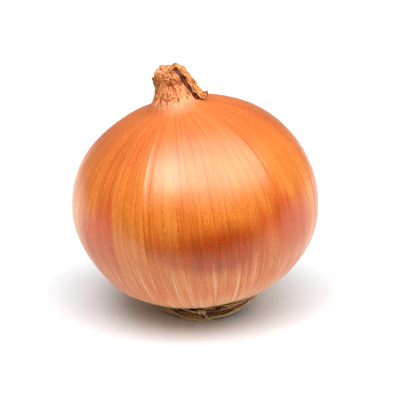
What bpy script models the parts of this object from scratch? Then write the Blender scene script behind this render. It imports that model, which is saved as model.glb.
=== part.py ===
"""A brown onion standing on its own dry roots.

Three grown pieces: the bulb with its papery neck, one dry leaf tip that has folded over the neck,
and the tuft of dry roots that the bulb rests on. Metres, +Z up. The origin is the middle of the
flat spot under the roots, and the neck leans towards -X.
"""
import bmesh
import bpy
from math import asin, atan2, cos, exp, hypot, pi, radians, sin
from mathutils import Matrix, Vector

MM = 0.001

# Bulb, measured along its own axis from its widest ring
BULB_RADIUS = 41.0 * MM
CROWN_HEIGHT = 35.4 * MM  # widest ring up to the crown
BASE_DEPTH = 36.6 * MM  # widest ring down to the root plate
BULB_CENTRE = Vector((-3.2 * MM, 0.0, 38.9 * MM))
BULB_LEAN = radians(7.0)  # neck towards -X
CROWN_OFFSET = -1.7 * MM  # the crown sits this far off the widest ring's middle
BASE_OFFSET = -0.6 * MM
SHOULDER_DROP = 2.0 * MM  # the shoulder under the lean is this much lower
LOBES = ((3, 0.30 * MM, 0.6), (5, 0.16 * MM, 2.1))  # waves round the bulb, height, phase

# Neck
SHOULDER_RADIUS = 12.0 * MM  # where the crown turns up into the neck
NECK_RADIUS = 5.9 * MM
NECK_TIP_RADIUS = 3.2 * MM
NECK_TIP_HEIGHT = 46.9 * MM
NECK_FLARE = 2.4 * MM  # how fast the foot of the neck widens
NECK_BEND = 0.11  # extra lean of the neck, sideways for each unit of height
NECK_FOLDS = ((5, 0.45 * MM, 1.3), (8, 0.22 * MM, 0.2))
FOLD_START = 5.0 * MM  # height over which the bulb's lobes give way to the neck's folds
TIP_RAGS = ((3, 0.6 * MM, 0.0), (5, 0.3 * MM, 1.0))
TIP_HOLLOW_SHARE = 0.45  # hollow in the neck's tip, as a share of the tip's radius
TIP_HOLLOW_DEPTH = 0.5 * MM

# Folded leaf: the middle line of a dry strip lying over the neck's +X side
LEAF_LINE = (
    (-10.2, 86.3), (-8.6, 86.5), (-6.9, 85.6), (-5.3, 83.6),
    (-4.1, 81.4), (-2.6, 79.2), (-0.9, 77.5), (0.6, 76.7), (1.3, 77.3),
)
LEAF_HALF_WIDTH = 2.7 * MM
LEAF_THICKNESS = 1.0 * MM
LEAF_ARCH = 0.4 * MM  # its edges hang this much lower than its middle
LEAF_NARROWING = 0.35  # share of its width lost towards the free end
LEAF_WAVES = (9.0, 0.08)  # waves along its edges, and their height as a share of its width

# Root tuft, a pad of dry roots pressed flat between the bulb and the surface
FLAT_SPOT_RADIUS = 9.5 * MM
TUFT_RADIUS = 14.8 * MM
TUFT_SHIFT = 1.6 * MM  # the pad spreads further on the side where the bulb lifts
TUFT_TILT = 0.12  # rise of the pad's rim along +X, as the bulb's underside rises
TUFT_RIM_HEIGHT = 1.8 * MM
TUFT_INSIDE_HEIGHT = 6.0 * MM  # its middle reaches up into the bulb before it is trimmed
TUFT_RAYS = ((7, 0.05, 0.4), (13, 0.035, 1.7))  # bundles of roots round the rim
GAP = 0.35 * MM  # clearance between neighbouring pieces

# How finely each piece is divided
BULB_SIDES = 56
BASE_STEPS = 13
CROWN_STEPS = 11
NECK_STEPS = 9
NECK_SPACING = 1.3  # above 1 packs the neck's rings towards its foot
TUFT_SIDES = 48
LEAF_STEPS = 20
LEAF_COLUMNS = 4


def clear_scene():
    for thing in list(bpy.data.objects):
        bpy.data.objects.remove(thing, do_unlink=True)


def make_material(name, colour, roughness):
    material = bpy.data.materials.new(name)
    material.use_nodes = True
    shader = material.node_tree.nodes["Principled BSDF"]
    shader.inputs["Base Color"].default_value = (*colour, 1.0)
    shader.inputs["Roughness"].default_value = roughness
    shader.inputs["Metallic"].default_value = 0.0
    return material


def onion_skin():
    """Thin glossy outer skin, orange brown."""
    return make_material("onion_skin", (0.71, 0.27, 0.07), 0.35)


def dry_leaf():
    """Shrivelled straw-coloured leaf tip."""
    return make_material("dry_leaf", (0.62, 0.36, 0.14), 0.75)


def dry_root():
    """Wiry tan roots."""
    return make_material("dry_root", (0.50, 0.33, 0.15), 0.85)


def add_object(name, mesh, material):
    piece = bpy.data.objects.new(name, mesh)
    bpy.context.collection.objects.link(piece)
    mesh.materials.append(material)
    mesh.shade_smooth()
    return piece


def mesh_from(bm, name):
    mesh = bpy.data.meshes.new(name)
    bmesh.ops.recalc_face_normals(bm, faces=bm.faces)
    bm.to_mesh(mesh)
    bm.free()
    return mesh


def waves(angle, terms):
    """Sum of waves round a ring, each given as (count, height, phase)."""
    return sum(height * cos(count * angle + phase) for count, height, phase in terms)


def shoulder_height():
    return CROWN_HEIGHT * (1.0 - (SHOULDER_RADIUS / BULB_RADIUS) ** 2) ** 0.5


def bulb_outline():
    """Radius and height from the root plate, over the widest ring and up to the neck's tip."""
    outline = [(0.0, -BASE_DEPTH)]
    for step in range(1, BASE_STEPS + 1):
        angle = -pi / 2 * (1.0 - step / BASE_STEPS)
        outline.append((BULB_RADIUS * cos(angle), BASE_DEPTH * sin(angle)))
    shoulder = asin(shoulder_height() / CROWN_HEIGHT)
    for step in range(1, CROWN_STEPS + 1):
        angle = shoulder * step / CROWN_STEPS
        outline.append((BULB_RADIUS * cos(angle), CROWN_HEIGHT * sin(angle)))
    for step in range(1, NECK_STEPS + 1):
        along = (step / NECK_STEPS) ** NECK_SPACING
        rise = along * (NECK_TIP_HEIGHT - shoulder_height())
        straight = NECK_RADIUS + along * (NECK_TIP_RADIUS - NECK_RADIUS)
        flare = (SHOULDER_RADIUS - NECK_RADIUS) * exp(-rise / NECK_FLARE)
        outline.append((straight + flare, shoulder_height() + rise))
    outline.append((NECK_TIP_RADIUS * TIP_HOLLOW_SHARE, NECK_TIP_HEIGHT - TIP_HOLLOW_DEPTH))
    outline.append((0.0, NECK_TIP_HEIGHT - TIP_HOLLOW_DEPTH))
    return outline


def grow(point):
    """Turns a point of the turned bulb into the uneven, leaning one that grew."""
    angle = atan2(point.y, point.x)
    radius = hypot(point.x, point.y)
    height = point.z
    above = max(0.0, height - shoulder_height())
    neck = min(1.0, above / FOLD_START)
    radius += waves(angle, LOBES) * radius / BULB_RADIUS * (1.0 - neck)
    radius += waves(angle, NECK_FOLDS) * neck * min(1.0, radius / NECK_TIP_RADIUS)
    if radius > 0.0 and height > NECK_TIP_HEIGHT - TIP_HOLLOW_DEPTH / 2.0:
        height += waves(angle, TIP_RAGS)
    ramp = min(1.0, max(0.0, height / shoulder_height())) ** 2 * exp(-above / NECK_FLARE)
    height -= SHOULDER_DROP * (1.0 - cos(angle)) / 2.0 * ramp
    offset = CROWN_OFFSET if height > 0.0 else BASE_OFFSET
    sideways = offset * (1.0 - min(1.0, radius / BULB_RADIUS)) - NECK_BEND * above
    return Vector((radius * cos(angle) + sideways, radius * sin(angle), height))


def bulb_mesh(name, swell):
    """The bulb's closed skin, moved outwards by swell."""
    bm = bmesh.new()
    corners = [bm.verts.new((radius, 0.0, height)) for radius, height in bulb_outline()]
    edges = [bm.edges.new(pair) for pair in zip(corners, corners[1:])]
    bmesh.ops.spin(
        bm, geom=corners + edges, cent=(0.0, 0.0, 0.0), axis=(0.0, 0.0, 1.0),
        angle=2.0 * pi, steps=BULB_SIDES, use_merge=True,
    )
    bmesh.ops.remove_doubles(bm, verts=bm.verts, dist=0.01 * MM)
    for vert in bm.verts:
        vert.co = grow(vert.co)
    bmesh.ops.transform(bm, matrix=Matrix.Rotation(-BULB_LEAN, 4, "Y"), verts=bm.verts)
    bmesh.ops.translate(bm, vec=BULB_CENTRE, verts=bm.verts)
    bmesh.ops.recalc_face_normals(bm, faces=bm.faces)
    if swell:
        bm.normal_update()
        moved = [(vert, vert.co + vert.normal * swell) for vert in bm.verts]
        for vert, place in moved:
            vert.co = place
    return mesh_from(bm, name)


def make_bulb():
    return add_object("bulb", bulb_mesh("bulb", 0.0), onion_skin())


def make_clearance():
    """A slightly larger bulb that trims its neighbours and isn't part of the onion."""
    cutter = bpy.data.objects.new("bulb_clearance", bulb_mesh("bulb_clearance", GAP))
    bpy.context.collection.objects.link(cutter)
    cutter.hide_render = True
    cutter.display_type = "WIRE"
    return cutter


def trim_with(piece, cutter):
    cut = piece.modifiers.new("clear_of_bulb", "BOOLEAN")
    cut.operation = "DIFFERENCE"
    cut.object = cutter


def tuft_rings():
    """Radius, lowest height and share of the tilt for each ring, from the flat spot outwards."""
    return (
        (FLAT_SPOT_RADIUS, 0.0, 0.0),
        (TUFT_RADIUS * 0.82, TUFT_RIM_HEIGHT * 0.3, 0.6),
        (TUFT_RADIUS, TUFT_RIM_HEIGHT, 0.9),
        (TUFT_RADIUS * 0.97, TUFT_RIM_HEIGHT * 1.6, 1.0),
        (TUFT_RADIUS * 0.55, TUFT_INSIDE_HEIGHT, 1.0),
    )


def tuft_point(angle, radius, height, tilt):
    """A point of the pad; outside the flat spot the rays and the shift set in by degrees."""
    loose = min(1.0, max(0.0, (radius - FLAT_SPOT_RADIUS) / (TUFT_RADIUS - FLAT_SPOT_RADIUS)))
    reach = radius * (1.0 + waves(angle, TUFT_RAYS) * loose)
    x = reach * cos(angle) + TUFT_SHIFT * loose
    return (x, reach * sin(angle), max(0.0, height + x * TUFT_TILT * tilt))


def make_roots(cutter):
    bm = bmesh.new()
    rings = []
    for radius, height, tilt in tuft_rings():
        turn = [2.0 * pi * side / TUFT_SIDES for side in range(TUFT_SIDES)]
        rings.append([bm.verts.new(tuft_point(angle, radius, height, tilt)) for angle in turn])
    bm.faces.new(rings[0])
    bm.faces.new(rings[-1])
    for lower, upper in zip(rings, rings[1:]):
        for side in range(TUFT_SIDES):
            after = (side + 1) % TUFT_SIDES
            bm.faces.new((lower[side], lower[after], upper[after], upper[side]))
    roots = add_object("roots", mesh_from(bm, "roots"), dry_root())
    trim_with(roots, cutter)
    return roots


def on_line(points, along):
    """A point on the smooth line through points, along from 0 to 1."""
    place = along * (len(points) - 1)
    index = min(int(place), len(points) - 2)
    t = place - index
    before = points[max(index - 1, 0)]
    start, end = points[index], points[index + 1]
    after = points[min(index + 2, len(points) - 1)]
    return (
        start + (end - before) * (t / 2.0)
        + (before * 2.0 - start * 5.0 + end * 4.0 - after) * (t * t / 2.0)
        + (start * 3.0 - before - end * 3.0 + after) * (t * t * t / 2.0)
    )


def leaf_point(along, across):
    """A point of the folded leaf; across runs from -1 to 1 over its width."""
    points = [Vector((x * MM, 0.0, z * MM)) for x, z in LEAF_LINE]
    waviness, wave_height = LEAF_WAVES
    share = 1.0 - LEAF_NARROWING * along + wave_height * sin(waviness * along)
    droop = LEAF_ARCH * across * across
    return on_line(points, along) + Vector((0.0, across * LEAF_HALF_WIDTH * share, -droop))


def make_neck_leaf(cutter):
    bm = bmesh.new()
    rows = []
    for step in range(LEAF_STEPS + 1):
        across = [2.0 * column / LEAF_COLUMNS - 1.0 for column in range(LEAF_COLUMNS + 1)]
        rows.append([bm.verts.new(leaf_point(step / LEAF_STEPS, place)) for place in across])
    for upper, lower in zip(rows, rows[1:]):
        for column in range(LEAF_COLUMNS):
            bm.faces.new((upper[column], upper[column + 1], lower[column + 1], lower[column]))
    leaf = add_object("neck_leaf", mesh_from(bm, "neck_leaf"), dry_leaf())
    thicken = leaf.modifiers.new("thickness", "SOLIDIFY")
    thicken.thickness = LEAF_THICKNESS
    thicken.offset = 0.0
    trim_with(leaf, cutter)
    return leaf


def build():
    clear_scene()
    make_bulb()
    cutter = make_clearance()
    make_roots(cutter)
    make_neck_leaf(cutter)


build()
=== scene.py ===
import random
from math import acos, cos, exp, hypot, pi, radians, sin

import bpy
import numpy as np
from mathutils import Matrix, Vector, noise
from mathutils.bvhtree import BVHTree


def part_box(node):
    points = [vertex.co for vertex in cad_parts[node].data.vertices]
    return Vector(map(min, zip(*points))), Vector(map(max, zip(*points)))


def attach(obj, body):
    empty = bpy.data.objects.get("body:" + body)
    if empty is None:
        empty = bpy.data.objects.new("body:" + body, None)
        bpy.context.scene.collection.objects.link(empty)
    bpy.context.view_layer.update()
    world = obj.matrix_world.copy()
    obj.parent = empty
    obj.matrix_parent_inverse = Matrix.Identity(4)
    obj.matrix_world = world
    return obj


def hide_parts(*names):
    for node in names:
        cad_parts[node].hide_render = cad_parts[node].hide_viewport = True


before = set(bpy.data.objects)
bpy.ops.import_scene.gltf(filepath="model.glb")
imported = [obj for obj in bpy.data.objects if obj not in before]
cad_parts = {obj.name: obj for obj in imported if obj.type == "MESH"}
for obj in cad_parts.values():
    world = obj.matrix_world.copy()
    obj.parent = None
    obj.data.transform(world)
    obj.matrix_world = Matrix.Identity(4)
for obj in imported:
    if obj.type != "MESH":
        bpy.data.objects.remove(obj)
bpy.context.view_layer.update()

# A brown onion standing on its own dry roots. Metres, +Z up, neck leaning towards -X, seen from -Y.

MM = 0.001
bulb_low, bulb_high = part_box("bulb")

# Bulb, measured along its own axis from its widest ring
BULB_RADIUS = (bulb_high.y - bulb_low.y) / 2.0
CROWN_HEIGHT = 0.863 * BULB_RADIUS
BASE_DEPTH = 0.893 * BULB_RADIUS
BULB_LEAN = radians(7.0)
BULB_DROP = hypot(BULB_RADIUS * sin(BULB_LEAN), BASE_DEPTH * cos(BULB_LEAN))
BULB_CENTRE = Vector(((bulb_low.x + bulb_high.x) / 2.0, 0.0, bulb_low.z + BULB_DROP))
CROWN_FULLNESS = 0.93
CROWN_OFFSET = -1.7 * MM
BASE_OFFSET = -0.6 * MM
SHOULDER_DROP = 2.0 * MM
BASE_LIFT = 1.5 * MM
LEFT_BASE_LIFT = 2.0 * MM
# Waves round the belly: how many, how high, and where they start
LOBES = ((3, 0.30 * MM, 0.6), (5, 0.16 * MM, 2.1))
# The lower half is fuller on the right and slimmer on the left, as shares of its radius
FULLER_RIGHT = 0.012
SLIMMER_LEFT = 0.035
# The base is lifted from the outer of these radii in to the inner one
BASE_LIFT_OUTER = 31.0 * MM
BASE_LIFT_INNER = 12.0 * MM

# Flat strips of skin between the stiff ribs of the scale beneath, as angles round the bulb
RIBS = (-150, -112, -90.5, -46, -12, 27, 58, 96, 131, 172)
RIB_FLATNESS = 0.2

# Neck
SHOULDER_RADIUS = 12.0 * MM
NECK_RADIUS = 6.3 * MM
NECK_TIP_RADIUS = 4.3 * MM
NECK_TIP_HEIGHT = 46.9 * MM
NECK_FLARE = 2.4 * MM
NECK_BEND = 0.11
TIP_HOLLOW_DEPTH = 2.2 * MM
RAGGED_TIP_HEIGHT = 3.0 * MM
CREVICE_DEPTH = 0.8 * MM
# The corner where the skin turns up into the neck is filled by this much, fading over this far
SHOULDER_FILL = 0.24 * MM
SHOULDER_FILLET = 3.0 * MM
FILL_OUTWARD, FILL_UPWARD = 0.31, 0.95

# Columns round the skin, and rows in each stretch of it
BULB_SIDES = 420
BASE_STEPS = 80
CROWN_STEPS = 60
NECK_STEPS = 84
HOLLOW_STEPS = 8

LEAF_THICKNESS = 0.25 * MM
TORN_SKIN_THICKNESS = 0.16 * MM

# Roots; the rim of the tuft has grown over to the right
ROOT_COUNT = 190
ROOT_STEPS = 20
STRAY_STEPS = 24
STUB_STEPS = 24
TUFT_SHIFT = 2.4 * MM
PLATE_RADIUS = 8.6 * MM
PLATE_BOTTOM = 0.35 * MM
PLATE_RINGS = 13
PLATE_SIDES = 64

VEIN_SPACING = 4.8 * MM
VEIN_COUNT = round(2.0 * pi * BULB_RADIUS / VEIN_SPACING)
SKIN_LENGTH = BULB_RADIUS * 2.8


# ---------------------------------------------------------------- meshes

def add_piece(name, mesh, material, node):
    """Puts a mesh in the scene with the given material, parented to the root body, and hides the
    node it stands for.
    """
    piece = bpy.data.objects.new(name, mesh)
    bpy.context.scene.collection.objects.link(piece)
    mesh.materials.append(material)
    mesh.shade_smooth()
    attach(piece, "root")
    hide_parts(node)
    return piece


def grid_mesh(name, rows, closed=False):
    """A mesh from rows of points, joined into four-sided faces; closed joins each row's ends."""
    count = len(rows[0])
    points = [tuple(point) for row in rows for point in row]
    faces = []
    for r in range(len(rows) - 1):
        for c in range(count if closed else count - 1):
            after = (c + 1) % count
            faces.append((r * count + c, r * count + after,
                          (r + 1) * count + after, (r + 1) * count + c))
    mesh = bpy.data.meshes.new(name)
    mesh.from_pydata(points, [], faces)
    return mesh


def set_numbers(mesh, name, values):
    layer = mesh.attributes.new(name, "FLOAT", "POINT")
    layer.data.foreach_set("value", np.asarray(values, np.float32))


def set_vectors(mesh, name, values):
    layer = mesh.attributes.new(name, "FLOAT_VECTOR", "POINT")
    layer.data.foreach_set("vector", np.asarray(values, np.float32).ravel())


def waves(angle, terms):
    """Sum of waves round the bulb, each with its count, height and start."""
    return sum(height * cos(count * angle + phase) for count, height, phase in terms)


def smooth_step(low, high, value):
    """0 at low and 1 at high, with soft ends; low may be the greater."""
    share = min(1.0, max(0.0, (value - low) / (high - low)))
    return share * share * (3.0 - 2.0 * share)


# ---------------------------------------------------------------- bulb and neck

def shoulder_height():
    """Height at which the round crown turns up into the neck."""
    return CROWN_HEIGHT * (1.0 - (SHOULDER_RADIUS / BULB_RADIUS) ** (2.0 / CROWN_FULLNESS)) ** 0.5


def bulb_stand():
    """Leans the bulb and sets it down on its roots."""
    return Matrix.Translation(BULB_CENTRE) @ Matrix.Rotation(-BULB_LEAN, 4, "Y")


def bulb_outline():
    """Radius and height from the root plate, over the widest ring, up the neck and into its tip."""
    outline = []
    for step in range(1, BASE_STEPS + 1):
        angle = -pi / 2 * (1.0 - step / BASE_STEPS)
        outline.append((BULB_RADIUS * cos(angle), BASE_DEPTH * sin(angle)))
    shoulder = acos((SHOULDER_RADIUS / BULB_RADIUS) ** (1.0 / CROWN_FULLNESS))
    for step in range(1, CROWN_STEPS + 1):
        angle = shoulder * step / CROWN_STEPS
        outline.append((BULB_RADIUS * cos(angle) ** CROWN_FULLNESS, CROWN_HEIGHT * sin(angle)))
    for step in range(1, NECK_STEPS + 1):
        along = (step / NECK_STEPS) ** 1.2
        rise = along * (NECK_TIP_HEIGHT - shoulder_height())
        straight = NECK_RADIUS + along * (NECK_TIP_RADIUS - NECK_RADIUS)
        flare = (SHOULDER_RADIUS - NECK_RADIUS) * exp(-rise / NECK_FLARE)
        outline.append((straight + flare, shoulder_height() + rise))
    for step in range(1, HOLLOW_STEPS + 1):
        inward = step / (HOLLOW_STEPS + 1)
        depth = TIP_HOLLOW_DEPTH * sin(inward * pi / 2)
        outline.append((NECK_TIP_RADIUS * (1.0 - inward), NECK_TIP_HEIGHT - depth))
    # The skin runs up into the neck without a crease, so the corner at the shoulder is filled
    filled = []
    for radius, height in outline:
        away = hypot(radius - SHOULDER_RADIUS, height - shoulder_height())
        fill = SHOULDER_FILL * exp(-away / SHOULDER_FILLET)
        filled.append((radius + FILL_OUTWARD * fill, height + FILL_UPWARD * fill))
    return filled


def turned(angle):
    """The angle in degrees, from -180 to 180."""
    return (angle * 180.0 / pi + 180.0) % 360.0 - 180.0


def rib_bulge(angle):
    """How far the skin stands off the round bulb: out at the ribs, in between them."""
    degrees = turned(angle)
    starts = (RIBS[-1] - 360.0,) + RIBS
    ends = RIBS + (RIBS[0] + 360.0,)
    for start, end in zip(starts, ends):
        if start <= degrees <= end:
            half = (end - start) / 2.0
            place = (degrees - start) / half - 1.0
            return RIB_FLATNESS * radians(half) ** 2 * (place * place / 2.0 - 1.0 / 6.0)
    return 0.0


# Hollows pressed into the neck, and lumps where the depth is negative: centre angle and
# height, half width, half height (degrees and mm), depth in mm
NECK_HOLLOWS = (
    (-92, 45.2, 34, 2.2, -0.35),
    (-68, 46.2, 13, 1.1, 0.8),
    (-100, 42.2, 20, 0.8, 0.2),
    (-52, 41.2, 16, 1.6, 0.35),
    (-150, 38.8, 12, 1.7, 0.5),
    (-122, 37.8, 8, 1.4, 0.4),
    (60, 42.0, 30, 1.6, 0.7),
    (130, 40.5, 16, 2.0, 0.7),
    (175, 44.8, 26, 1.4, -0.5),
)

# Crevice between the neck and the folded leaf tip, carved in and darkened with painted shade, in mm
CREVICE = (
    (-9.3, -2.6, 86.4), (-8.2, -2.8, 84.6), (-6.4, -2.6, 82.0),
    (-4.7, -2.4, 79.7), (-3.0, -3.0, 77.2), (-2.2, -3.6, 76.0),
)


def oval(angle, level, middle, centre, half_angle, half_height):
    """1 at the centre of a soft oval on the skin, falling to 0 round it; degrees and mm."""
    turn = (turned(angle) - middle + 180.0) % 360.0 - 180.0
    return exp(-(turn / half_angle) ** 2 - ((level - centre) / half_height) ** 2)


def neck_crumple(angle, height):
    """Radial push of the dried neck: soft folds, upright pleats, crinkles, pressed hollows."""
    spot = Vector((cos(angle) * 5.0, sin(angle) * 5.0, height / MM))
    lower = smooth_step(46.0, 42.0, spot.z)
    push = noise.noise(spot / 4.6) * 0.6
    push += (0.22 - abs(noise.noise(spot / 1.3 + Vector((3.0, 7.0, 1.0))))) * (0.5 - 0.25 * lower)
    push += noise.noise(spot / 0.5) * 0.12
    pleat = Vector((spot.x * 1.3, spot.y * 1.3, spot.z / 6.0))
    pleats = noise.noise(pleat) * 0.4 + (0.2 - abs(noise.noise(pleat * 2.1))) * 0.7
    push += pleats * (0.45 + 0.45 * lower)
    for *place, depth in NECK_HOLLOWS:
        push -= depth * oval(angle, spot.z, *place)
    return push * MM


def crevice_share(point):
    """1 inside the crevice beside the folded leaf tip, 0 away from it."""
    nearest = 100.0
    for start, end in zip(CREVICE_ON_AXIS, CREVICE_ON_AXIS[1:]):
        along = (point - start).dot(end - start) / (end - start).length_squared
        spot = start.lerp(end, min(1.0, max(0.0, along)))
        nearest = min(nearest, (point - spot).length / MM)
    return smooth_step(1.5, 0.5, nearest)


def pleat_share(angle, height):
    """0 on the smooth shoulder and 1 on the wrinkled neck, with a jagged edge between them."""
    rise = (height - shoulder_height()) / MM
    jag = noise.noise(Vector((cos(angle) * 5.0, sin(angle) * 5.0, 2.0))) * 1.1
    return smooth_step(0.8, 4.6, rise + jag)


def grow(angle, radius, height):
    """Turns a point of the round bulb into the grown one, still standing on its own axis. Gives
    the point, how far the neck's crumples push it out, and its share of the crevice."""
    above = max(0.0, height - shoulder_height())
    neck = pleat_share(angle, height)
    smooth = 1.0 - smooth_step(-2.0 * MM, 5.0 * MM, height - shoulder_height())
    belly = radius / BULB_RADIUS
    radius += waves(angle, LOBES) * belly * smooth
    radius += rib_bulge(angle) * radius * smooth
    right = (1.0 + cos(angle)) / 2.0
    low = smooth_step(2.0 * MM, -20.0 * MM, height)
    radius += (FULLER_RIGHT * right - SLIMMER_LEFT * (1.0 - right)) * low * radius
    if height < 0.0:
        lift = BASE_LIFT + LEFT_BASE_LIFT * (1.0 - right)
        height += lift * smooth_step(BASE_LIFT_OUTER, BASE_LIFT_INNER, radius)
    round_x, round_y = cos(angle), sin(angle)
    swell = noise.noise(Vector((round_x * 4.0, round_y * 4.0, height / (22.0 * MM)))) * 0.16
    ripple = noise.noise(Vector((round_x * 14.0, round_y * 14.0, height / (40.0 * MM)))) * 0.08
    radius += (swell + ripple) * MM * belly * smooth
    push = neck_crumple(angle, height) * neck * min(1.0, radius / NECK_TIP_RADIUS)
    radius += push
    tip = smooth_step(NECK_TIP_HEIGHT - RAGGED_TIP_HEIGHT, NECK_TIP_HEIGHT, height)
    rags = noise.noise(Vector((round_x * 1.6, round_y * 1.6, 5.0))) * 0.9
    rags += noise.noise(Vector((round_x * 7.0, round_y * 7.0, 9.0))) * 0.6 - 0.5
    height += rags * MM * tip
    level = min(1.0, max(0.0, height / shoulder_height()))
    fade = above / NECK_FLARE
    crown = (1.0 - (1.0 - level ** 2) ** 1.5) * exp(-1.3 * fade ** 2 / (1.0 + fade))
    height -= SHOULDER_DROP * (1.0 - right) * crown
    offset = CROWN_OFFSET if height > 0.0 else BASE_OFFSET
    sideways = offset * (1.0 - min(1.0, radius / BULB_RADIUS)) - NECK_BEND * above
    point = Vector((radius * round_x + sideways, radius * round_y, height))
    crevice = crevice_share(point) if above > 0.0 else 0.0
    point.x -= CREVICE_DEPTH * crevice * round_x
    point.y -= CREVICE_DEPTH * crevice * round_y
    return point, push, crevice


def vein_turns():
    """How many veins lie before each column, so that their spacing varies round the bulb."""
    angles = np.linspace(0.0, 2.0 * pi, BULB_SIDES + 1)
    drift = sum((np.sin(k * angles + k * k) - np.sin(k * k)) / k for k in (2, 3, 7, 11, 17))
    return VEIN_COUNT * angles / (2.0 * pi) + 0.7 * drift


# Where the skin is darker or redder than the rest; the darker patches in front are partly copper
# skin
# and partly painted shade: centre angle and height, half width, half height (degrees and mm),
# strength
BURNT_AND_SHADE_PATCHES = (
    (-76, -4.5, 17, 7.0, 0.55), (38, -2.0, 24, 8.0, 0.5), (128, 3.0, 20, 7.0, 0.5),
)
RED_PATCHES = (
    (-137, 6.0, 12, 10.0, 0.55), (-146, -6.0, 16, 11.0, 0.5), (-44, 2.0, 16, 8.0, 0.6),
    (-36, -8.0, 18, 9.0, 0.5), (-66, -12.0, 14, 5.0, 0.5), (5, 2.0, 22, 11.0, 0.5),
    (80, -4.0, 24, 10.0, 0.55), (165, 0.0, 24, 12.0, 0.55),
)


def patches(angle, height, places):
    """How strongly a point of the skin takes the colour of these patches."""
    return sum(strength * oval(angle, height / MM, *place) for *place, strength in places)


def burnt_and_shade_share(angle, height):
    """Darker copper skin, and painted shade on the lower front of the belly; the front patch stops
    sharply at a rib and softly at its lower edge.
    """
    degrees, level = turned(angle), height / MM
    share = patches(angle, height, BURNT_AND_SHADE_PATCHES)
    # Painted shade over the lower front of the belly, partly also darker copper skin, bounded by
    # the rib near -112 degrees
    if -125.0 < degrees < -30.0:
        share += 0.5 * smooth_step(13.0, -3.0, level) * smooth_step(-52.0, -66.0, degrees)
        edge = -112.5 + 1.5 * noise.noise(Vector((level / 6.0, 3.0, 0.0)))
        share *= smooth_step(edge - 0.8, edge + 0.8, degrees)
        floor = -12.5 + 0.008 * (degrees + 80.0) ** 2
        share *= smooth_step(floor - 4.5, floor + 4.0, level)
    return share


def skin_mesh():
    """The bulb and neck in one skin, with what its material needs to know at each point."""
    outline = bulb_outline()
    rows, grain, neck, pushed, crevice_shade, burnt_and_shade, red = [], [], [], [], [], [], []
    length = 0.0
    last = (0.0, -BASE_DEPTH)
    for radius, height in outline:
        length += hypot(radius - last[0], height - last[1])
        last = (radius, height)
        row = []
        for side in range(BULB_SIDES):
            angle = 2.0 * pi * side / BULB_SIDES + pi / 2
            point, push, crevice = grow(angle, radius, height)
            row.append(point)
            grain.append((cos(angle), sin(angle), length / SKIN_LENGTH))
            neck.append(pleat_share(angle, height))
            pushed.append(push / MM)
            # Share of the painted shade in the crevice
            crevice_shade.append(crevice)
            burnt_and_shade.append(burnt_and_shade_share(angle, height))
            red.append(patches(angle, height, RED_PATCHES))
        rows.append(row)
    mesh = grid_mesh("onion_skin", rows, closed=True)
    set_vectors(mesh, "grain", grain)
    shares = {"neck": neck, "push": pushed, "crevice_shade": crevice_shade, "burnt_and_shade": burnt_and_shade, "red": red}
    for name, values in shares.items():
        set_numbers(mesh, name, values)
    add_skin_maps(mesh, len(rows))
    mesh.transform(bulb_stand())
    return mesh


def add_skin_maps(mesh, ring_count):
    """One map unrolls the skin; the other counts veins round it and rings up it."""
    corners = np.empty(len(mesh.loops), np.int32)
    mesh.loops.foreach_get("vertex_index", corners)
    ring, side = corners // BULB_SIDES, corners % BULB_SIDES
    quads = side.reshape(-1, 4)
    wraps = (quads.max(1) == BULB_SIDES - 1) & (quads.min(1) == 0)
    column = np.where(np.repeat(wraps, 4) & (side == 0), BULB_SIDES, side)
    unrolled = np.stack([column / BULB_SIDES, ring / (ring_count - 1)], 1)
    counted = np.stack([vein_turns()[column], ring / (ring_count - 1)], 1)
    for name, values in (("OFBake", unrolled), ("veins", counted)):
        layer = mesh.uv_layers.new(name=name)
        layer.data.foreach_set("uv", values.astype(np.float32).ravel())


# ---------------------------------------------------------------- folded leaf and wraps

# Middle line of the folded leaf tip, in mm
LEAF_LINE = (
    (-10.6, 1.6, 84.8), (-9.4, 0.9, 85.7), (-8.0, -0.1, 85.6), (-6.7, -0.9, 84.7),
    (-5.5, -1.5, 83.4), (-4.2, -2.0, 81.2), (-3.1, -2.3, 79.7), (-2.1, -2.6, 78.4),
    (-1.0, -2.9, 77.3), (-0.1, -3.0, 76.8), (0.4, -2.9, 77.2), (0.2, -2.7, 77.8),
)
LEAF_LENGTH = 17.0  # mm
LEAF_COLUMNS = 36
LEAF_STEPS = 110


def on_line(points, along):
    """A point on the smooth line through points, along from 0 to 1."""
    place = along * (len(points) - 1)
    index = min(int(place), len(points) - 2)
    t = place - index
    before = points[max(index - 1, 0)]
    start, end = points[index], points[index + 1]
    after = points[min(index + 2, len(points) - 1)]
    return (
        start + (end - before) * (t / 2.0)
        + (before * 2.0 - start * 5.0 + end * 4.0 - after) * (t * t / 2.0)
        + (start * 3.0 - before - end * 3.0 + after) * (t * t * t / 2.0)
    )


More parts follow.
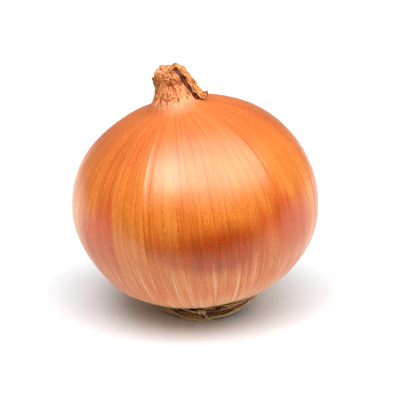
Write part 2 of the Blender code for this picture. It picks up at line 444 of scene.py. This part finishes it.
def leaf_rows(width, slide, lift, seed, start, end):
    """Points of the withered leaf tip along its line; width, slide and lift are in mm."""
    points = [Vector(point) for point in LEAF_LINE]
    rows = []
    for step in range(LEAF_STEPS + 1):
        along = start + (end - start) * step / LEAF_STEPS
        middle = on_line(points, along)
        ahead = on_line(points, min(1.0, along + 0.01)) - on_line(points, max(0.0, along - 0.01))
        outward = Vector((-ahead.z, 0.0, ahead.x)).normalized()
        if outward.z < 0.0 and along < 0.75:
            outward = -outward
        twist = radians(15.0 + 28.0 * smooth_step(0.1, 0.4, along))
        across = Vector((0.0, cos(twist), 0.0)) + outward * sin(twist)
        lifted = outward * cos(twist) - Vector((0.0, sin(twist), 0.0))
        row = []
        for column in range(LEAF_COLUMNS + 1):
            c = 2.0 * column / LEAF_COLUMNS - 1.0
            edge = 1.0 - 0.25 * smooth_step(0.6, 1.0, along) - 0.25 * smooth_step(0.2, 0.0, along)
            side = Vector((along * 9.0 + seed, 3.0 if c > 0.0 else -3.0, seed))
            edge += 0.36 * noise.noise(side) + 0.22 * noise.noise(side * 4.0)
            spot = Vector((along * LEAF_LENGTH + seed, c * width / 2.0, seed))
            lumps = noise.noise(spot / 1.6) * 0.5
            lumps += (0.2 - abs(noise.noise(spot / 0.8))) * 0.5 + noise.noise(spot / 0.4) * 0.14
            lumps += noise.noise(Vector((along * 3.0, c * 6.0, seed))) * 0.25
            lumps -= 0.3 * c * c
            sideways = c * width / 2.0 * edge + slide
            row.append((middle + across * sideways + lifted * (lift + lumps)) * MM)
        rows.append(row)
    return rows


def thicken(piece, thickness):
    """Gives a sheet its thickness, half on each side."""
    solid = piece.modifiers.new("thickness", "SOLIDIFY")
    solid.thickness = thickness
    solid.offset = 0.0


def make_neck_leaf(outside, inside):
    """The folded leaf tip: a straw coloured outer layer, and a dark inner layer by the neck that is
    partly the leaf's brown inside and partly painted shade in the crevice.
    """
    for name, material, width, slide, lift, seed, start, end in (
        ("leaf_outside", outside, 2.9, 0.0, 0.15, 1.3, 0.0, 1.0),
        # Dark layer against the neck: partly painted shade between the leaf and the neck
        ("leaf_inside_and_shade", inside, 2.0, -1.4, -0.7, 5.1, 0.06, 0.74),
    ):
        mesh = grid_mesh(name, leaf_rows(width, slide, lift, seed, start, end))
        grain = []
        for step in range(LEAF_STEPS + 1):
            for column in range(LEAF_COLUMNS + 1):
                c = 2.0 * column / LEAF_COLUMNS - 1.0
                grain.append((c * width / 2.0, step / LEAF_STEPS * LEAF_LENGTH, seed))
        set_vectors(mesh, "grain", grain)
        thicken(add_piece(name, mesh, material, "neck_leaf"), LEAF_THICKNESS)


# Torn edges of outer skins round the neck: middle angle, half width (degrees), lowest and
# highest height (mm), how far the top stands out (mm), seed
TORN_SKINS = (
    (178, 24, 39.6, 44.0, 0.5, 2.0),
    (-152, 18, 42.4, 46.6, 0.4, 3.0),
    (-84, 13, 45.6, 48.0, 0.1, 7.0),
    (50, 30, 38.0, 44.8, 0.7, 11.0),
    (112, 26, 39.5, 46.0, 0.8, 13.0),
)


def neck_radius(height):
    """Radius of the neck at a height above the widest ring."""
    rise = max(0.0, height - shoulder_height())
    along = rise / (NECK_TIP_HEIGHT - shoulder_height())
    flare = (SHOULDER_RADIUS - NECK_RADIUS) * exp(-rise / NECK_FLARE)
    return NECK_RADIUS + along * (NECK_TIP_RADIUS - NECK_RADIUS) + flare


def torn_skin(name, material, middle, half_width, lowest, highest, stand_off, seed):
    """A scrap of torn outer skin that clings to the neck and stands off it at the top."""
    rows, grain = [], []
    columns, steps = 40, 40
    for step in range(steps + 1):
        share = step / steps
        row = []
        for column in range(columns + 1):
            c = 2.0 * column / columns - 1.0
            ragged = 1.0 - 0.35 * c * c + 0.22 * noise.noise(Vector((c * 2.5 + seed, 1.0, seed)))
            ragged += 0.16 * noise.noise(Vector((c * 9.0, seed, 2.0)))
            height = (lowest + (highest - lowest) * share * ragged) * MM
            narrow = 1.0 - 0.25 * share + 0.2 * noise.noise(Vector((share * 4.0, seed, c)))
            angle = radians(middle + c * half_width * narrow)
            spot = Vector((c * 2.0 + seed, share * 3.0, seed))
            crumple = noise.noise(spot * 1.3) * 0.3 + noise.noise(spot * 3.7) * 0.15
            off = (0.12 + (stand_off * share ** 2 + crumple * share)) * MM
            row.append(grow(angle, neck_radius(height) + max(0.05 * MM, off), height)[0])
            grain.append((angle * NECK_RADIUS / MM, height / MM, seed))
        rows.append(row)
    mesh = grid_mesh(name, rows)
    set_vectors(mesh, "grain", grain)
    mesh.transform(bulb_stand())
    piece = add_piece(name, mesh, material, "bulb")
    thicken(piece, TORN_SKIN_THICKNESS)


# ---------------------------------------------------------------- roots

def tube(points, radii, sides=6):
    """Vertices and faces of one tapered tube along points."""
    verts, faces = [], []
    for index, point in enumerate(points):
        ahead = points[min(index + 1, len(points) - 1)] - points[max(index - 1, 0)]
        across = ahead.cross(Vector((0.13, 0.07, 1.0))).normalized()
        up = across.cross(ahead).normalized()
        for side in range(sides):
            turn = 2.0 * pi * side / sides
            verts.append(point + (across * cos(turn) + up * sin(turn)) * radii[index])
    for index in range(len(points) - 1):
        for side in range(sides):
            after = (side + 1) % sides
            a, b = index * sides, (index + 1) * sides
            faces.append((a + side, a + after, b + after, b + side))
    last = (len(points) - 1) * sides
    faces.append(tuple(reversed(range(sides))))
    faces.append(tuple(range(last, last + sides)))
    return verts, faces


def root_path(turn, swirl, inner, outer, level, kink, thick, underside):
    """A dry root from the stem plate out and round the rim of the tuft, under the bulb."""
    points = []
    for step in range(ROOT_STEPS + 1):
        along = step / ROOT_STEPS
        angle = turn + swirl * along ** 1.4
        wobble = noise.noise(Vector((along * 3.5, kink, 0.0))) * 1.0 * MM
        reach = inner + (outer - inner) * along ** 0.6 + wobble
        x = reach * cos(angle) + TUFT_SHIFT * smooth_step(5.0 * MM, 13.0 * MM, reach)
        y = reach * sin(angle)
        # The bottom of the tuft rises towards its rim, most of all on the right
        low = max(0.0, reach - 9.0 * MM) * 0.35 + max(0.0, x - 2.0 * MM) * 0.20
        high = max(low + 0.5 * MM, underside(x, y) - thick * 1.5)
        bend = 0.3 * noise.noise(Vector((along * 3.0, kink, 7.0)))
        share = min(1.0, max(0.0, level + bend))
        points.append(Vector((x, y, max(thick, low + thick + (high - low - thick) * share))))
    return points


# Roots that stand out from the tuft, as points in mm with how many lie together
STRAY_ROOTS = (
    (14, ((-4.0, -9.2, 0.8), (2.0, -10.2, 0.7), (9.0, -8.6, 1.9), (14.4, -4.6, 3.7),
          (18.2, -0.6, 5.2))),
    (9, ((-1.0, -8.2, 2.6), (5.0, -8.4, 2.8), (10.0, -5.6, 4.0), (14.5, -2.0, 5.2))),
    (6, ((-5.5, -8.6, 0.8), (-9.5, -7.0, 1.2), (-12.4, -4.6, 0.8), (-14.0, -3.0, 0.5))),
    (8, ((0.0, -10.2, 0.5), (-5.0, -9.8, 0.8), (-9.8, -7.6, 1.8), (-13.2, -4.4, 3.2))),
    (8, ((3.0, -10.0, 0.4), (-3.0, -10.6, 0.4), (-8.0, -8.8, 1.0), (-11.8, -6.0, 2.2))),
    (3, ((2.0, 9.0, 0.9), (8.0, 8.2, 1.8), (12.5, 6.0, 3.0), (14.8, 3.2, 4.0))),
    (3, ((-2.0, 9.0, 0.8), (-7.0, 8.6, 1.3), (-11.5, 6.2, 2.6), (-13.6, 2.8, 3.2))),
)


def stray_paths():
    """Points along each root of the bundles that stand out."""
    for count, line in STRAY_ROOTS:
        middle = [Vector(point) for point in line]
        for _ in range(count):
            kink = random.uniform(0.0, 100.0)
            reach = random.uniform(0.86, 1.0)
            points = []
            for step in range(STRAY_STEPS + 1):
                along = step / STRAY_STEPS
                spot = Vector((along * 2.6, kink, 0.0))
                drift = noise.noise_vector(spot) * (0.9 - 0.5 * along)
                point = (on_line(middle, along * reach) + drift) * MM
                point.z = max(point.z, 0.2 * MM)
                points.append(point)
            yield points


def make_roots(material, underside):
    """The tuft of dry roots, as one mesh that knows each root's tone."""
    random.seed(11)
    noise.seed_set(11)
    verts, faces, tones = [], [], []

    def add_root(points, thick, shade):
        radii = [thick * (1.0 - 0.6 * (i / (len(points) - 1)) ** 2) for i in range(len(points))]
        new, sides = tube(points, radii)
        base = len(verts)
        verts.extend(new)
        faces.extend(tuple(base + i for i in face) for face in sides)
        tones.extend([shade] * len(new))

    for _ in range(ROOT_COUNT):
        turn = random.uniform(0.0, 2.0 * pi)
        swirl = random.choice((-1.0, 1.0, 1.0)) * random.uniform(0.5, 1.9)
        inner = random.uniform(3.0, 9.5) * MM
        outer = random.uniform(10.0, 16.0) * MM
        thick = random.uniform(0.14, 0.28) * MM
        points = root_path(turn, swirl, inner, outer, random.random(),
                           random.uniform(0.0, 100.0), thick, underside)
        add_root(points, thick, random.random() ** 1.3)
    for points in stray_paths():
        add_root(points, random.uniform(0.17, 0.27) * MM, random.uniform(0.45, 1.0))
    mesh = bpy.data.meshes.new("root_tuft")
    mesh.from_pydata([tuple(v) for v in verts], [], faces)
    set_numbers(mesh, "tone", tones)
    return add_piece("root_tuft", mesh, material, "roots")


# A few thick pale root stubs left on the stem plate: radius and points, in mm
ROOT_STUBS = (
    (0.7, ((-0.3, -10.2, 5.8), (-0.2, -11.3, 4.4), (0.2, -11.7, 3.2), (0.8, -11.6, 2.2),
           (1.3, -11.3, 1.4))),
    (0.5, ((-0.9, -10.0, 5.6), (-1.3, -11.2, 4.1), (-1.2, -11.5, 3.0), (-0.6, -11.4, 2.1))),
    (0.6, ((-4.0, 7.0, 5.0), (-4.6, 8.2, 3.9), (-4.9, 9.0, 2.4))),
)


def make_root_stubs(material):
    for number, (radius, line) in enumerate(ROOT_STUBS):
        middle = [Vector(point) for point in line]
        points, radii = [], []
        for step in range(STUB_STEPS + 1):
            along = step / STUB_STEPS
            points.append(on_line(middle, along) * MM)
            swell = 1.0 + 0.3 * noise.noise(Vector((along * 6.0, number, 0.0)))
            radii.append(radius * MM * swell * (1.0 - 0.7 * along ** 3))
        verts, faces = tube(points, radii, 12)
        name = f"root_stub_{number + 1}"
        mesh = bpy.data.meshes.new(name)
        mesh.from_pydata([tuple(v) for v in verts], [], faces)
        add_piece(name, mesh, material, "roots")


def underside_of(piece):
    """A function that gives the height of the piece's underside above a spot on the floor."""
    tree = BVHTree.FromObject(piece, bpy.context.evaluated_depsgraph_get())

    def height(x, y):
        hit = tree.ray_cast(Vector((x, y, -0.01)), Vector((0.0, 0.0, 1.0)))
        return hit[0].z if hit[0] else bulb_low.z
    return height


def make_root_plate(material, underside):
    """The short dark stem plate that the roots grow from."""
    rows = []
    for ring in range(PLATE_RINGS + 1):
        share = ring / PLATE_RINGS
        row = []
        for side in range(PLATE_SIDES):
            angle = 2.0 * pi * side / PLATE_SIDES
            radius = PLATE_RADIUS * sin(pi * (0.06 + 0.88 * share)) ** 0.6
            radius += noise.noise(Vector((cos(angle) * 3, sin(angle) * 3, share * 2))) * 0.9 * MM
            x, y = radius * cos(angle), radius * sin(angle)
            top = underside(x, y) + 0.2 * MM
            row.append((x, y, PLATE_BOTTOM + (top - PLATE_BOTTOM) * share))
        rows.append(row)
    mesh = grid_mesh("root_plate", rows, closed=True)
    return add_piece("root_plate", mesh, material, "roots")


# ---------------------------------------------------------------- materials

# Dry skin, leaf and root are mostly cellulose, and matt paint is close to it
DRY_PLANT_IOR = 1.5


def linear(code):
    """An sRGB hex colour as linear red, green, blue and alpha."""
    parts = [int(code[i:i + 2], 16) / 255.0 for i in (1, 3, 5)]
    light = [p / 12.92 if p <= 0.04045 else ((p + 0.055) / 1.055) ** 2.4 for p in parts]
    return (*light, 1.0)


def add_node(tree, kind, inputs=None, out=0, stops=(), **settings):
    """Adds a node with its settings, values or links, and colour stops; gives one output."""
    node = tree.nodes.new(kind)
    for name, value in settings.items():
        setattr(node, name, value)
    for socket, value in (inputs or {}).items():
        if isinstance(value, bpy.types.NodeSocket):
            tree.links.new(value, node.inputs[socket])
        else:
            node.inputs[socket].default_value = linear(value) if isinstance(value, str) else value
    for number, (place, code) in enumerate(stops):
        points = node.color_ramp.elements
        point = points[number] if number < 2 else points.new(1.0)
        point.position = place
        point.color = linear(code)
    return node.outputs[out]


def new_material(name, roughness):
    """A new material, its node tree and its shader."""
    material = bpy.data.materials.new(name)
    material.use_nodes = True
    shader = material.node_tree.nodes["Principled BSDF"]
    shader.inputs["Roughness"].default_value = roughness
    shader.inputs["IOR"].default_value = DRY_PLANT_IOR
    return material, material.node_tree, shader


def fibres(tree, grain, width, length, detail=3.0):
    """Streaks that run from root to neck, width and length being theirs at the widest ring."""
    count = (BULB_RADIUS / width, BULB_RADIUS / width, SKIN_LENGTH / length)
    place = add_node(tree, "ShaderNodeVectorMath", {0: grain, 1: count}, operation="MULTIPLY")
    return add_node(tree, "ShaderNodeTexNoise",
                    {"Vector": place, "Scale": 1.0, "Detail": detail, "Roughness": 0.55})


def painted(tree, colour, coats):
    """Lays coats over a colour. A coat is its colour, blend and strength, and then masks that
    bound it, each a value with the low and high between which it fades in."""
    for over, blend, strength, *masks in coats:
        share = strength
        for value, low, high in masks:
            fade = add_node(tree, "ShaderNodeMapRange",
                            {"Value": value, "From Min": low, "From Max": high},
                            interpolation_type="SMOOTHSTEP")
            share = add_node(tree, "ShaderNodeMath", {0: fade, 1: share}, operation="MULTIPLY")
        colour = add_node(tree, "ShaderNodeMix", {0: share, 6: colour, 7: over}, 2,
                          data_type="RGBA", blend_type=blend)
    return colour


def cured_onion_skin():
    """Outer scale of a brown onion, cured dry on the bulb. It is thin and pulled tight, which
    gives a broad satin glow over copper gold, with fibres and dotted veins from root to neck."""
    material, tree, shader = new_material("cured_onion_skin", 0.3)
    grain = add_node(tree, "ShaderNodeAttribute", None, "Vector", attribute_name="grain")
    neck, push, crevice_shade, burnt_and_shade, red = (
        add_node(tree, "ShaderNodeAttribute", None, "Fac", attribute_name=name)
        for name in ("neck", "push", "crevice_shade", "burnt_and_shade", "red"))
    along = add_node(tree, "ShaderNodeSeparateXYZ", {0: grain}, "Z")
    counted = add_node(tree, "ShaderNodeUVMap", uv_map="veins")
    turns = add_node(tree, "ShaderNodeSeparateXYZ", {0: counted}, "X")
    between_veins = add_node(tree, "ShaderNodeMath", {0: turns}, operation="FLOOR")
    strip = add_node(tree, "ShaderNodeTexWhiteNoise", {"W": between_veins}, noise_dimensions="1D")
    from_vein = add_node(tree, "ShaderNodeMath", {0: turns, 1: 0.5}, operation="PINGPONG")

    # The cell rows are 0.1 mm wide, too fine to show, so the finest fibres are 0.4 mm wide
    broad = fibres(tree, grain, 7.6 * MM, 82.0 * MM)
    medium = fibres(tree, grain, 2.0 * MM, 46.0 * MM)
    narrow = fibres(tree, grain, 0.8 * MM, 38.0 * MM, detail=2.0)
    fine = fibres(tree, grain, 0.42 * MM, 19.0 * MM)
    speckle = fibres(tree, grain, 0.5 * MM, 0.6 * MM, detail=2.0)
    dashes = fibres(tree, grain, 0.86 * MM, 1.15 * MM, detail=1.0)
    # Drawn together at the neck, these are 0.7 mm wide
    wrinkles = fibres(tree, grain, 5.0 * MM, 2.4 * MM, detail=4.0)

    # Patch edges and the pale base are drawn up and down by the streaks
    ragged_red = add_node(tree, "ShaderNodeMath", {0: medium, 1: 1.1, 2: red},
                          operation="MULTIPLY_ADD")
    ragged_burnt_and_shade = add_node(tree, "ShaderNodeMath", {0: medium, 1: 0.3, 2: burnt_and_shade},
                            operation="MULTIPLY_ADD")
    climb = add_node(tree, "ShaderNodeMath", {0: medium, 1: 0.16, 2: along},
                     operation="MULTIPLY_ADD")
    climb = add_node(tree, "ShaderNodeMath", {0: broad, 1: 0.12, 2: climb},
                     operation="MULTIPLY_ADD")
    gold = add_node(tree, "ShaderNodeValToRGB", {0: broad},
                    stops=((0.32, "#D27024"), (0.7, "#E29440"), (0.5, "#DA802C")))
    strip_gold = add_node(tree, "ShaderNodeValToRGB", {0: strip},
                          stops=((0.0, "#CF6E24"), (1.0, "#E2923F")))
    paper = add_node(tree, "ShaderNodeValToRGB", {0: wrinkles},
                     stops=((0.37, "#A85A20"), (0.6, "#FAD8AE"), (0.48, "#DE9C5C")))
    # Painted shade in the neck's pressed hollows: the deeper a hollow, the more reddish brown
    hollows = add_node(tree, "ShaderNodeMath", {0: push, 1: 0.4, 2: 0.5}, operation="MULTIPLY_ADD")
    hollow_shade_tone = add_node(tree, "ShaderNodeValToRGB", {0: hollows},
                           stops=((0.0, "#A8622C"), (0.24, "#FFFFFF"), (0.12, "#EEC298")))
    # Greys for an overlay, which leaves a colour as it is at #BCBCBC
    fibre_tone = add_node(tree, "ShaderNodeValToRGB", {0: fine},
                          stops=((0.25, "#A0A0A0"), (0.75, "#D2D2D2")))
    speckle_tone = add_node(tree, "ShaderNodeValToRGB", {0: speckle},
                            stops=((0.2, "#A0A0A0"), (0.8, "#D0D0D0")))
    colour = painted(tree, gold, (
        (strip_gold, "MIX", 0.5),
        ("#BE6624", "MIX", 0.5, (along, 0.58, 0.72)),
        ("#B0561C", "MIX", 0.55, (along, 0.7, 0.82)),
        ("#F0B27C", "MIX", 0.12, (narrow, 0.52, 0.7), (along, 0.74, 0.9)),
        ("#D25618", "MIX", 0.85, (ragged_red, 0.65, 1.35)),
        # Darker copper skin, and painted shade on the lower front of the belly
        ("#C45200", "MIX", 1.0, (ragged_burnt_and_shade, 0.2, 1.1)),
        # Salmon, then cream, towards the root plate, with pale and dark streaks in them
        ("#DA6A2A", "MIX", 0.8, (climb, 0.57, 0.47)),
        ("#EEAE74", "MIX", 0.8, (climb, 0.49, 0.37)),
        ("#E09440", "MIX", 0.5, (medium, 0.5, 0.62), (climb, 0.62, 0.52)),
        ("#C04C0C", "MIX", 0.45, (ragged_red, 0.7, 1.3)),
        # Darker again: copper skin, and painted shade on the lower front
        ("#A84402", "MIX", 0.5, (ragged_burnt_and_shade, 0.35, 1.05)),
        ("#F6D4AC", "MIX", 0.6, (medium, 0.48, 0.62), (climb, 0.5, 0.4)),
        ("#F6D0A4", "MIX", 0.75, (narrow, 0.55, 0.7), (climb, 0.62, 0.46)),
        ("#BE4C16", "MIX", 0.5, (narrow, 0.45, 0.34)),
        # Neck: tan paper, with painted shade in its hollows (reddish brown) and in the crevice
        # (almost black)
        (paper, "MIX", 0.9, (neck, 0.0, 0.85)),
        (hollow_shade_tone, "MULTIPLY", 1.0, (neck, 0.0, 1.0)),
        # Painted shade in the crevice beside the folded leaf tip, almost black
        ("#481200", "MIX", 0.92, (crevice_shade, 0.1, 0.7)),
        (fibre_tone, "OVERLAY", 1.0),
        (speckle_tone, "OVERLAY", 1.0),
        # Veins 0.3 mm wide, broken into dots, and paler ones in the salmon
        ("#93400E", "MIX", 0.6, (from_vein, 0.045, 0.012), (dashes, 0.42, 0.58)),
        ("#F6D2A8", "MIX", 0.5, (from_vein, 0.14, 0.05), (climb, 0.64, 0.5), (broad, 0.45, 0.6)),
    ))
    tree.links.new(colour, shader.inputs["Base Color"])

    satin = add_node(tree, "ShaderNodeMapRange", {
        "Value": medium, "From Min": 0.3, "From Max": 0.7, "To Min": 0.26, "To Max": 0.36})
    dull = add_node(tree, "ShaderNodeMapRange", {
        "Value": along, "From Min": 0.82, "From Max": 0.95, "To Max": 0.2})
    duller = add_node(tree, "ShaderNodeMath", {0: neck, 1: 0.1, 2: dull}, operation="MULTIPLY_ADD")
    rough = add_node(tree, "ShaderNodeMath", {0: satin, 1: duller}, operation="ADD")
    tree.links.new(rough, shader.inputs["Roughness"])
    veined = add_node(tree, "ShaderNodeMapRange", {
        "Value": from_vein, "From Max": 0.12, "To Max": 0.25}, interpolation_type="SMOOTHSTEP")
    ridges = add_node(tree, "ShaderNodeMath", {0: medium, 1: 0.6, 2: fine},
                      operation="MULTIPLY_ADD")
    veins = add_node(tree, "ShaderNodeMath", {0: ridges, 1: veined}, operation="ADD")
    crinkled = add_node(tree, "ShaderNodeMath", {0: wrinkles, 1: neck}, operation="MULTIPLY")
    height = add_node(tree, "ShaderNodeMath", {0: crinkled, 1: 7.0, 2: veins},
                      operation="MULTIPLY_ADD")
    bump = add_node(tree, "ShaderNodeBump",
                    {"Height": height, "Strength": 0.65, "Distance": 0.06 * MM})
    tree.links.new(bump, shader.inputs["Normal"])
    shader.inputs["Specular IOR Level"].default_value = 0.85
    shader.inputs["Specular Tint"].default_value = linear("#FFF6EE")
    shader.inputs["Coat Weight"].default_value = 0.15
    shader.inputs["Coat Roughness"].default_value = 0.25
    return material


def withered_paper(name, dark, middle, light):
    """Leaf or skin withered and dried to paper. Its surface has shrunk into fibres and crinkles,
    which gives a matt straw brown that is streaked along its length."""
    material, tree, shader = new_material(name, 0.65)
    grain = add_node(tree, "ShaderNodeAttribute", None, "Vector", attribute_name="grain")
    # Fibres 0.4 mm wide and 3 mm long; the grain is in mm
    place = add_node(tree, "ShaderNodeVectorMath", {0: grain, 1: (1.0 / 0.4, 1.0 / 3.0, 1.0)},
                     operation="MULTIPLY")
    tone = add_node(tree, "ShaderNodeTexNoise",
                    {"Vector": place, "Scale": 1.0, "Detail": 5.0, "Roughness": 0.65})
    colour = add_node(tree, "ShaderNodeValToRGB", {0: tone},
                      stops=((0.34, dark), (0.66, light), (0.5, middle)))
    tree.links.new(colour, shader.inputs["Base Color"])
    bump = add_node(tree, "ShaderNodeBump", {"Height": tone, "Strength": 0.7, "Distance": 0.2 * MM})
    tree.links.new(bump, shader.inputs["Normal"])
    return material


def mottled(tree, size, detail, dark, light):
    """Uneven tone in patches of the given size."""
    place = add_node(tree, "ShaderNodeTexCoord", out="Object")
    tone = add_node(tree, "ShaderNodeTexNoise", {
        "Vector": place, "Scale": 1.0 / size, "Detail": detail, "Roughness": 0.6})
    return add_node(tree, "ShaderNodeValToRGB", {0: tone}, stops=((0.3, dark), (0.7, light)))


def dried_root():
    """Roots dried hard in the air. They are wiry and matt, and weathered unevenly, which makes
    each one straw, tan or dark brown."""
    material, tree, shader = new_material("dried_root", 0.7)
    tone = add_node(tree, "ShaderNodeAttribute", None, "Fac", attribute_name="tone")
    straw = add_node(tree, "ShaderNodeValToRGB", {0: tone},
                     stops=((0.0, "#461200"), (1.0, "#FFD09A"), (0.45, "#DA7030")))
    mottle = mottled(tree, 1.1 * MM, 2.0, "#ACACAC", "#E8E8E8")
    tree.links.new(painted(tree, straw, ((mottle, "OVERLAY", 0.8),)), shader.inputs["Base Color"])
    shader.inputs["Specular IOR Level"].default_value = 0.25
    return material


def root_core():
    """Bare core of a thick root that has lost its rind: smooth and waxy, which keeps it cream."""
    material, tree, shader = new_material("root_core", 0.5)
    tree.links.new(mottled(tree, 0.8 * MM, 3.0, "#E6B486", "#FFF2DE"), shader.inputs["Base Color"])
    return material


def corky_stem_plate():
    """Stem plate that has corked over: rough and porous, so it is dark brown with no shine."""
    material, tree, shader = new_material("corky_stem_plate", 0.9)
    tree.links.new(mottled(tree, 0.9 * MM, 4.0, "#1A0600", "#4A1C08"), shader.inputs["Base Color"])
    shader.inputs["Specular IOR Level"].default_value = 0.1
    return material


def board_with_painted_light():
    """Pale board with rolled matt paint, without gloss. Its colour carries painted light and shade:
    whiter far behind, where less light falls, slightly cool grey near the onion against the warm
    light the bulb bounces onto it, and dark grey in front, which shades the lower front of the bulb
    and darkens its reflections there.
    """
    material, tree, shader = new_material("board_with_painted_light", 0.9)
    place = add_node(tree, "ShaderNodeTexCoord", out="Object")
    front = add_node(tree, "ShaderNodeSeparateXYZ", {0: place}, "Y")
    # Painted light and shade: dark grey in front, cool grey near the onion, whiter behind
    colour = painted(tree, "#444546", (
        ("#DADEE1", "MIX", 1.0, (front, -0.106, -0.057)),
        ("#F8F8F8", "MIX", 1.0, (front, 0.02, 0.12)),
    ))
    tree.links.new(colour, shader.inputs["Base Color"])
    return material


# ---------------------------------------------------------------- studio

VIEW_ELEVATION = radians(20.0)
VIEW_DISTANCE = 0.75
VIEW_WIDTH = 0.1333
SENSOR_WIDTH = 36.0
FLOOR_HALF_WIDTH = 3.0

# Softboxes: name, azimuth and elevation in degrees, distance, width, height, radiance, and how
# far each is slid sideways. The first three make the broad glow on the crown.
SOFTBOXES = (
    ("overhead_softbox", 0.0, 73.0, 0.75, 1.55, 0.86, 2.75, 0.27),
    ("bright_panel", 0.0, 64.0, 0.74, 0.36, 0.56, 2.4, -0.32),
    ("wide_panel", 0.0, 62.0, 0.73, 1.0, 0.42, 1.2, 0.1),
    ("front_softbox", 0.0, 35.0, 0.76, 1.3, 0.26, 1.3, 0.0),
)


def make_camera():
    """A long lens in front of the onion, looking a little down on it."""
    aim = Vector((BULB_CENTRE.x + 1.9 * MM, 0.0, BULB_CENTRE.z + 0.2 * MM))
    back = Vector((0.0, -cos(VIEW_ELEVATION), sin(VIEW_ELEVATION)))
    data = bpy.data.cameras.new("studio_camera")
    data.sensor_width = SENSOR_WIDTH
    data.lens = SENSOR_WIDTH * VIEW_DISTANCE / VIEW_WIDTH
    camera = bpy.data.objects.new("studio_camera", data)
    bpy.context.scene.collection.objects.link(camera)
    camera.location = aim + back * VIEW_DISTANCE
    camera.rotation_euler = (pi / 2 - VIEW_ELEVATION, 0.0, 0.0)
    bpy.context.scene.camera = camera


def add_softbox(name, azimuth, elevation, distance, width, height, radiance, shift):
    """A rectangular softbox turned to the onion; azimuth 0 is in front."""
    data = bpy.data.lights.new(name, "AREA")
    data.shape = "RECTANGLE"
    data.size, data.size_y = width, height
    data.energy = radiance * pi * width * height
    lamp = bpy.data.objects.new(name, data)
    bpy.context.scene.collection.objects.link(lamp)
    a, e = radians(azimuth), radians(elevation)
    away = Vector((sin(a) * cos(e), -cos(a) * cos(e), sin(e)))
    lamp.location = BULB_CENTRE + away * distance + Vector((cos(a), sin(a), 0.0)) * shift
    lamp.rotation_euler = away.to_track_quat("Z", "Y").to_euler()


def make_studio():
    """A pale board to stand on, dim air that is brighter behind, and the softboxes."""
    mesh = bpy.data.meshes.new("studio_floor")
    half = FLOOR_HALF_WIDTH
    mesh.from_pydata([(-half, -half, 0), (half, -half, 0), (half, half, 0), (-half, half, 0)],
                     [], [(0, 1, 2, 3)])
    floor = bpy.data.objects.new("studio_floor", mesh)
    bpy.context.scene.collection.objects.link(floor)
    mesh.materials.append(board_with_painted_light())

    world = bpy.data.worlds.new("studio_air")
    bpy.context.scene.world = world
    world.use_nodes = True
    air = world.node_tree
    background = air.nodes["Background"]
    direction = add_node(air, "ShaderNodeTexCoord", out="Generated")
    forward = add_node(air, "ShaderNodeSeparateXYZ", {0: direction}, "Y")
    strength = add_node(air, "ShaderNodeMapRange", {
        "Value": forward, "From Min": -0.8, "From Max": -0.1, "To Min": 0.05, "To Max": 0.25,
    }, interpolation_type="SMOOTHSTEP")
    air.links.new(strength, background.inputs["Strength"])
    background.inputs["Color"].default_value = (1.0, 1.0, 1.0, 1.0)
    for softbox in SOFTBOXES:
        add_softbox(*softbox)
    view = bpy.context.scene.view_settings
    view.view_transform = "Standard"
    view.look = "Medium High Contrast"


# ---------------------------------------------------------------- build

# The crevice as grow() needs it, on the bulb's own axis and in metres
CREVICE_ON_AXIS = [bulb_stand().inverted() @ (Vector(point) * MM) for point in CREVICE]

make_camera()
make_studio()
skin = add_piece("onion_skin", skin_mesh(), cured_onion_skin(), "bulb")
underside = underside_of(skin)
make_neck_leaf(withered_paper("withered_leaf", "#8A3C12", "#CC7636", "#E8A664"),
               # Dark browns of the inner layer, partly painted shade in the crevice
               withered_paper("withered_leaf_inside_and_shade", "#3A0E00", "#5C2208", "#8A4218"))
torn_paper = withered_paper("torn_skin_paper", "#7E3A10", "#C47636", "#EAAE6A")
for number, torn in enumerate(TORN_SKINS):
    torn_skin(f"torn_skin_{number + 1}", torn_paper, *torn)
make_roots(dried_root(), underside)
make_root_plate(corky_stem_plate(), underside)
make_root_stubs(root_core())
